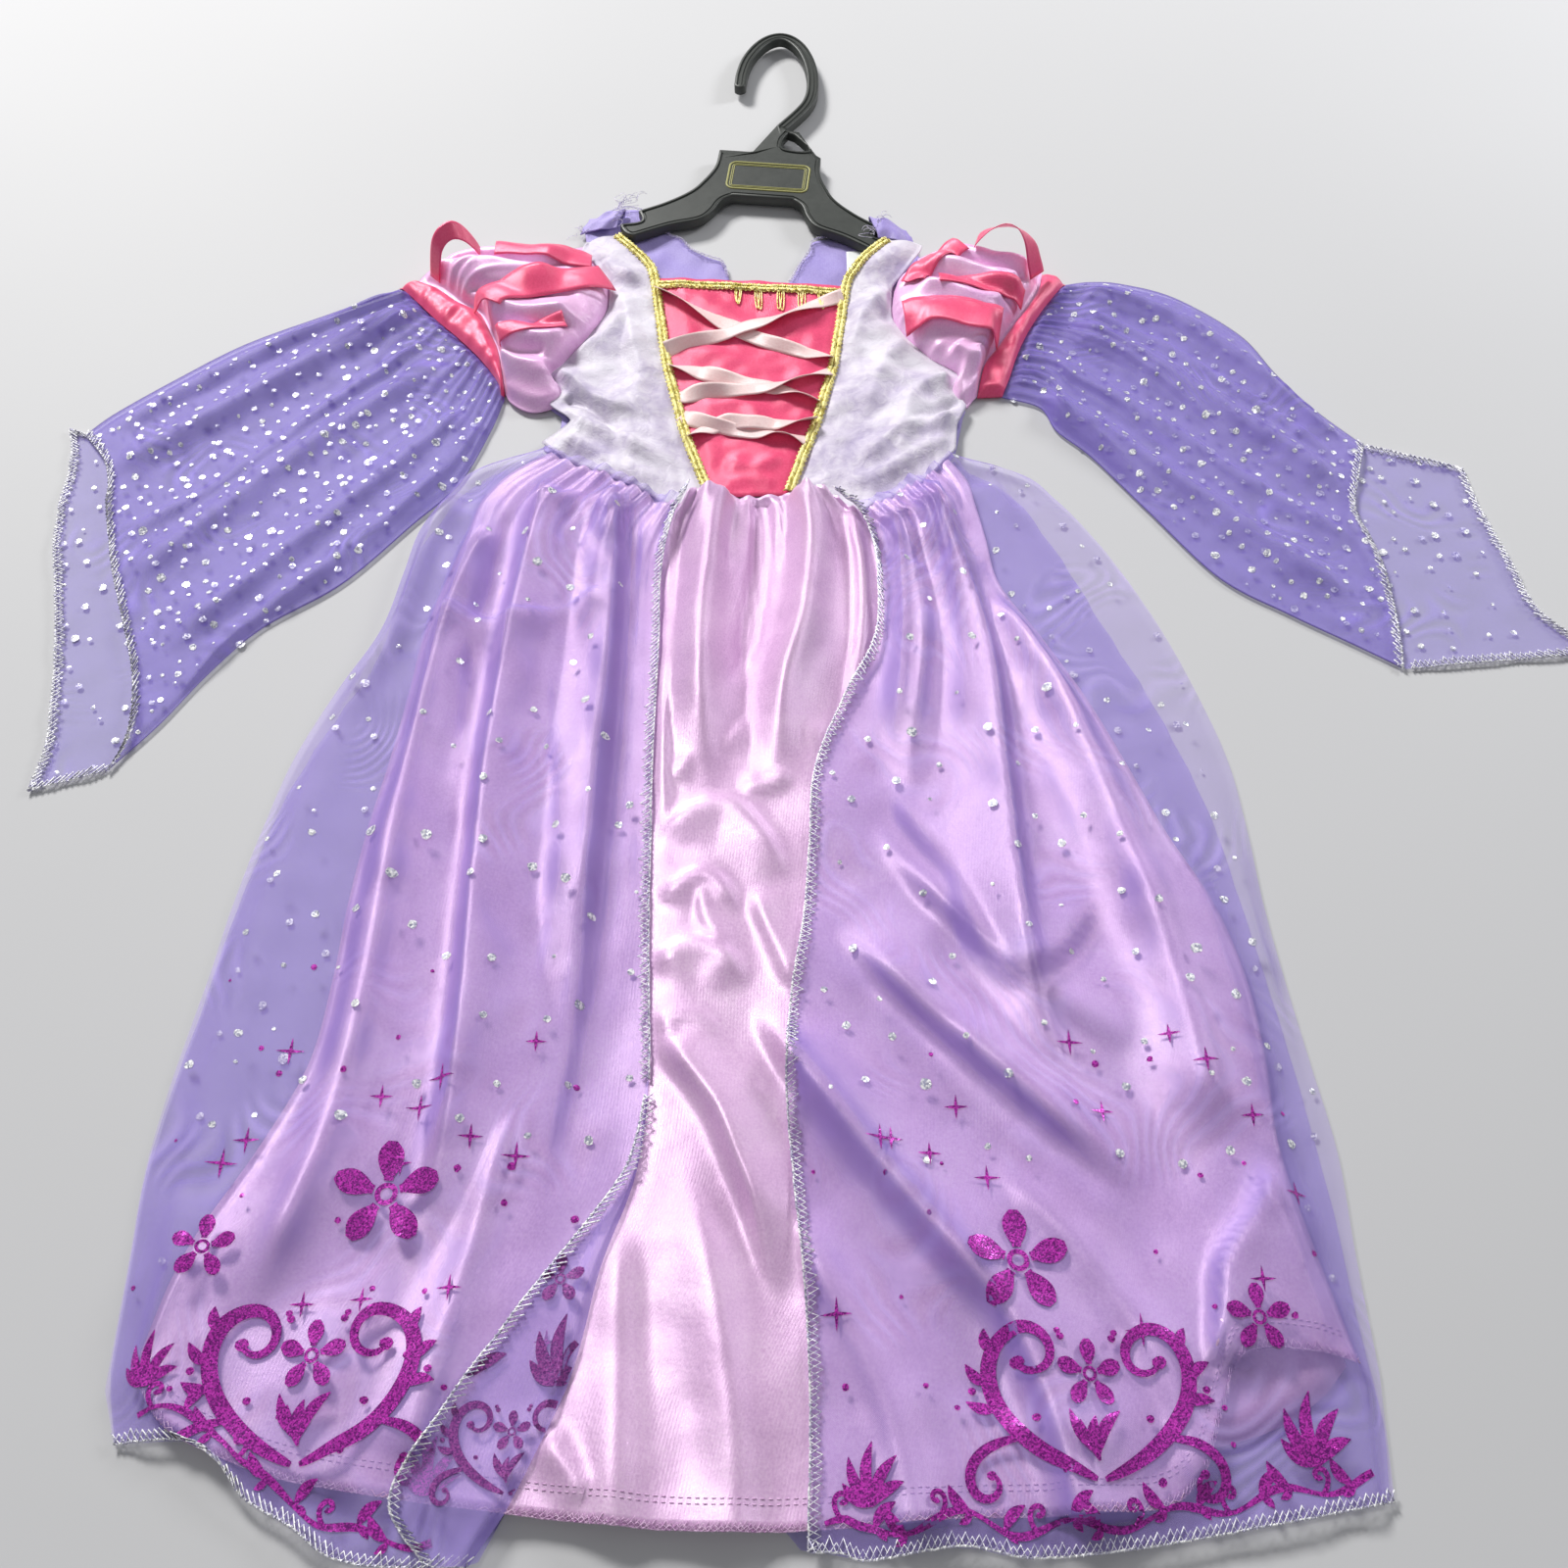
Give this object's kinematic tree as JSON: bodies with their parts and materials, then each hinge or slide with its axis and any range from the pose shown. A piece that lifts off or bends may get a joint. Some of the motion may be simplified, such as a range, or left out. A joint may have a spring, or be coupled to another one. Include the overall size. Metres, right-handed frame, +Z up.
{
  "type": "princess costume dress on a hanger",
  "caption": "Child's princess costume dress laid flat on a plastic hanger, with a laced bodice, puff and bell sleeves and an open-front organza overskirt.",
  "frame": {"origin": "middle of the box's underside, on the surface that the dress rests on", "axes": "+X towards the right of the dress as seen from above, +Y from the skirt's hem to the hanger's hook, +Z up out of the front of the dress"},
  "size_m": [0.828, 0.9626, 0.032],
  "materials": {
    "velvet": "white crushed velvet",
    "pink_satin": "hot pink satin",
    "lace_ribbon": "pale peach satin ribbon",
    "lavender_satin": "lavender satin, reverse side",
    "gold_braid": "metallic gold braid",
    "satin": "pale orchid satin",
    "organza": "sheer violet organza with glitter",
    "silver_edging": "silver metallic overlock",
    "lilac_satin": "wrinkled lilac satin",
    "label": "plain woven label",
    "hanger_plastic": "dark grey moulded plastic"
  },
  "bodies": {
    "root": {"bodice_front_left": "velvet", "bodice_front_right": "velvet", "bodice_centre": "pink_satin", "bodice_back_left": "lavender_satin", "bodice_back_right": "lavender_satin", "shoulder_left": "lavender_satin", "shoulder_right": "lavender_satin", "braid_left": "gold_braid", "braid_right": "gold_braid", "braid_neck": "gold_braid", "lace_1_under": "lace_ribbon", "lace_1_over": "lace_ribbon", "lace_2_under": "lace_ribbon", "lace_2_over": "lace_ribbon", "lace_3_under": "lace_ribbon", "lace_3_over": "lace_ribbon", "care_label": "label", "puff_left": "lilac_satin", "puff_right": "lilac_satin", "puff_ribbon_left_1": "pink_satin", "puff_ribbon_left_2": "pink_satin", "puff_ribbon_left_3": "pink_satin", "puff_ribbon_left_4": "pink_satin", "puff_ribbon_right_1": "pink_satin", "puff_ribbon_right_2": "pink_satin", "puff_ribbon_right_3": "pink_satin", "puff_ribbon_right_4": "pink_satin", "band_left": "pink_satin", "band_right": "pink_satin", "sleeve_left": "organza", "sleeve_right": "organza", "sleeve_edging_left": "silver_edging", "sleeve_edging_right": "silver_edging", "sleeve_edging_back_left": "silver_edging", "sleeve_edging_back_right": "silver_edging", "satin_back": "satin", "satin_front": "satin", "organza_back": "organza", "organza_left": "organza", "organza_right": "organza", "organza_corner": "organza", "edging_corner": "silver_edging", "edging_front_left": "silver_edging", "edging_front_right": "silver_edging", "edging_hem_left": "silver_edging", "edging_hem_right": "silver_edging", "hanger": "hanger_plastic"}
  },
  "joints": []
}
